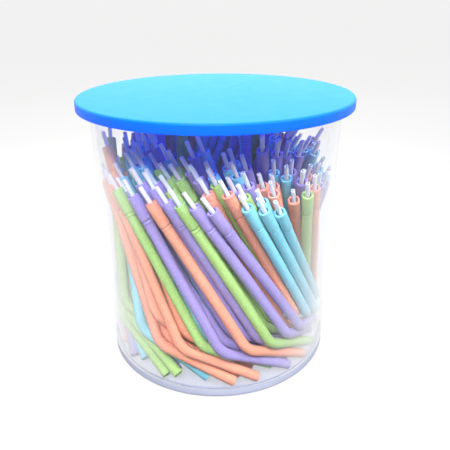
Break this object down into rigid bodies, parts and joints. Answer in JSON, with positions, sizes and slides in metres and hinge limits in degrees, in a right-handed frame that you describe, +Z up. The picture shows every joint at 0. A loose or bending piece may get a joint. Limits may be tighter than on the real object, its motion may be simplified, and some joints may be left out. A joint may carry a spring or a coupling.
{
  "type": "tub of dental syringe tips",
  "caption": "Round clear tub with an oversize lift-off lid, holding bent disposable air and water syringe tips, each a coloured sleeve around a white inner tube.",
  "frame": {"origin": "centre of the tub's flat underside", "axes": "+Z up through the lid; +Y away from the viewer; the tub and lid are round about Z"},
  "size_m": [0.1, 0.1, 0.1024],
  "materials": {
    "tub_clear": "clear gloss",
    "lid_blue": "satin, slightly translucent",
    "sleeve_orange": "matte moulded",
    "sleeve_green": "matte moulded",
    "sleeve_purple": "matte moulded",
    "sleeve_cyan": "matte moulded",
    "inner_tube_white": "satin"
  },
  "bodies": {
    "tub_with_standing_tips": {"clear_tub": "tub_clear", "tip_01_sleeve_orange": "sleeve_orange", "tip_01_inner_tube": "inner_tube_white", "tip_02_sleeve_green": "sleeve_green", "tip_02_inner_tube": "inner_tube_white", "tip_03_sleeve_purple": "sleeve_purple", "tip_03_inner_tube": "inner_tube_white", "tip_04_sleeve_orange": "sleeve_orange", "tip_04_inner_tube": "inner_tube_white", "tip_05_sleeve_purple": "sleeve_purple", "tip_05_inner_tube": "inner_tube_white", "tip_06_sleeve_green": "sleeve_green", "tip_06_inner_tube": "inner_tube_white", "tip_07_sleeve_purple": "sleeve_purple", "tip_07_inner_tube": "inner_tube_white", "tip_08_sleeve_purple": "sleeve_purple", "tip_08_inner_tube": "inner_tube_white", "tip_09_sleeve_orange": "sleeve_orange", "tip_09_inner_tube": "inner_tube_white", "tip_10_sleeve_cyan": "sleeve_cyan", "tip_10_inner_tube": "inner_tube_white", "tip_11_sleeve_cyan": "sleeve_cyan", "tip_11_inner_tube": "inner_tube_white", "tip_12_sleeve_cyan": "sleeve_cyan", "tip_12_inner_tube": "inner_tube_white", "tip_13_sleeve_orange": "sleeve_orange", "tip_13_inner_tube": "inner_tube_white", "tip_14_sleeve_green": "sleeve_green", "tip_14_inner_tube": "inner_tube_white", "tip_15_sleeve_orange": "sleeve_orange", "tip_15_inner_tube": "inner_tube_white", "tip_16_sleeve_purple": "sleeve_purple", "tip_16_inner_tube": "inner_tube_white", "tip_17_sleeve_purple": "sleeve_purple", "tip_17_inner_tube": "inner_tube_white", "tip_18_sleeve_cyan": "sleeve_cyan", "tip_18_inner_tube": "inner_tube_white", "tip_19_sleeve_cyan": "sleeve_cyan", "tip_19_inner_tube": "inner_tube_white", "tip_20_sleeve_orange": "sleeve_orange", "tip_20_inner_tube": "inner_tube_white", "tip_21_sleeve_purple": "sleeve_purple", "tip_21_inner_tube": "inner_tube_white", "tip_22_sleeve_purple": "sleeve_purple", "tip_22_inner_tube": "inner_tube_white", "tip_23_sleeve_green": "sleeve_green", "tip_23_inner_tube": "inner_tube_white", "tip_24_sleeve_orange": "sleeve_orange", "tip_24_inner_tube": "inner_tube_white", "tip_25_sleeve_orange": "sleeve_orange", "tip_25_inner_tube": "inner_tube_white"},
    "lid": {"lid": "lid_blue"},
    "loose_tip_orange": {"loose_26_sleeve_orange": "sleeve_orange", "loose_26_inner_tube": "inner_tube_white"},
    "loose_tip_green": {"loose_27_sleeve_green": "sleeve_green", "loose_27_inner_tube": "inner_tube_white"},
    "loose_tip_purple": {"loose_28_sleeve_purple": "sleeve_purple", "loose_28_inner_tube": "inner_tube_white"},
    "loose_tip_cyan": {"loose_29_sleeve_cyan": "sleeve_cyan", "loose_29_inner_tube": "inner_tube_white"}
  },
  "joints": [
    {"name": "lid_lift", "type": "slide", "parent": "tub_with_standing_tips", "child": "lid", "axis": [0, 0, 1], "range_m": [0, 0.12]},
    {"name": "draw_orange_tip", "type": "slide", "parent": "tub_with_standing_tips", "child": "loose_tip_orange", "axis": [0.0792, -0.0161, 0.9967], "range_m": [0, 0.09]},
    {"name": "draw_green_tip", "type": "slide", "parent": "tub_with_standing_tips", "child": "loose_tip_green", "axis": [0.0536, -0.0168, 0.9984], "range_m": [0, 0.09]},
    {"name": "draw_purple_tip", "type": "slide", "parent": "tub_with_standing_tips", "child": "loose_tip_purple", "axis": [-0.0408, 0.1492, 0.988], "range_m": [0, 0.09]},
    {"name": "draw_cyan_tip", "type": "slide", "parent": "tub_with_standing_tips", "child": "loose_tip_cyan", "axis": [-0.1061, 0.1897, 0.9761], "range_m": [0, 0.09]}
  ],
  "couplings": [
    {"joint": "draw_orange_tip", "follows": "lid_lift", "ratio": 0.75},
    {"joint": "draw_green_tip", "follows": "lid_lift", "ratio": 0.75},
    {"joint": "draw_purple_tip", "follows": "lid_lift", "ratio": 0.75},
    {"joint": "draw_cyan_tip", "follows": "lid_lift", "ratio": 0.75}
  ]
}
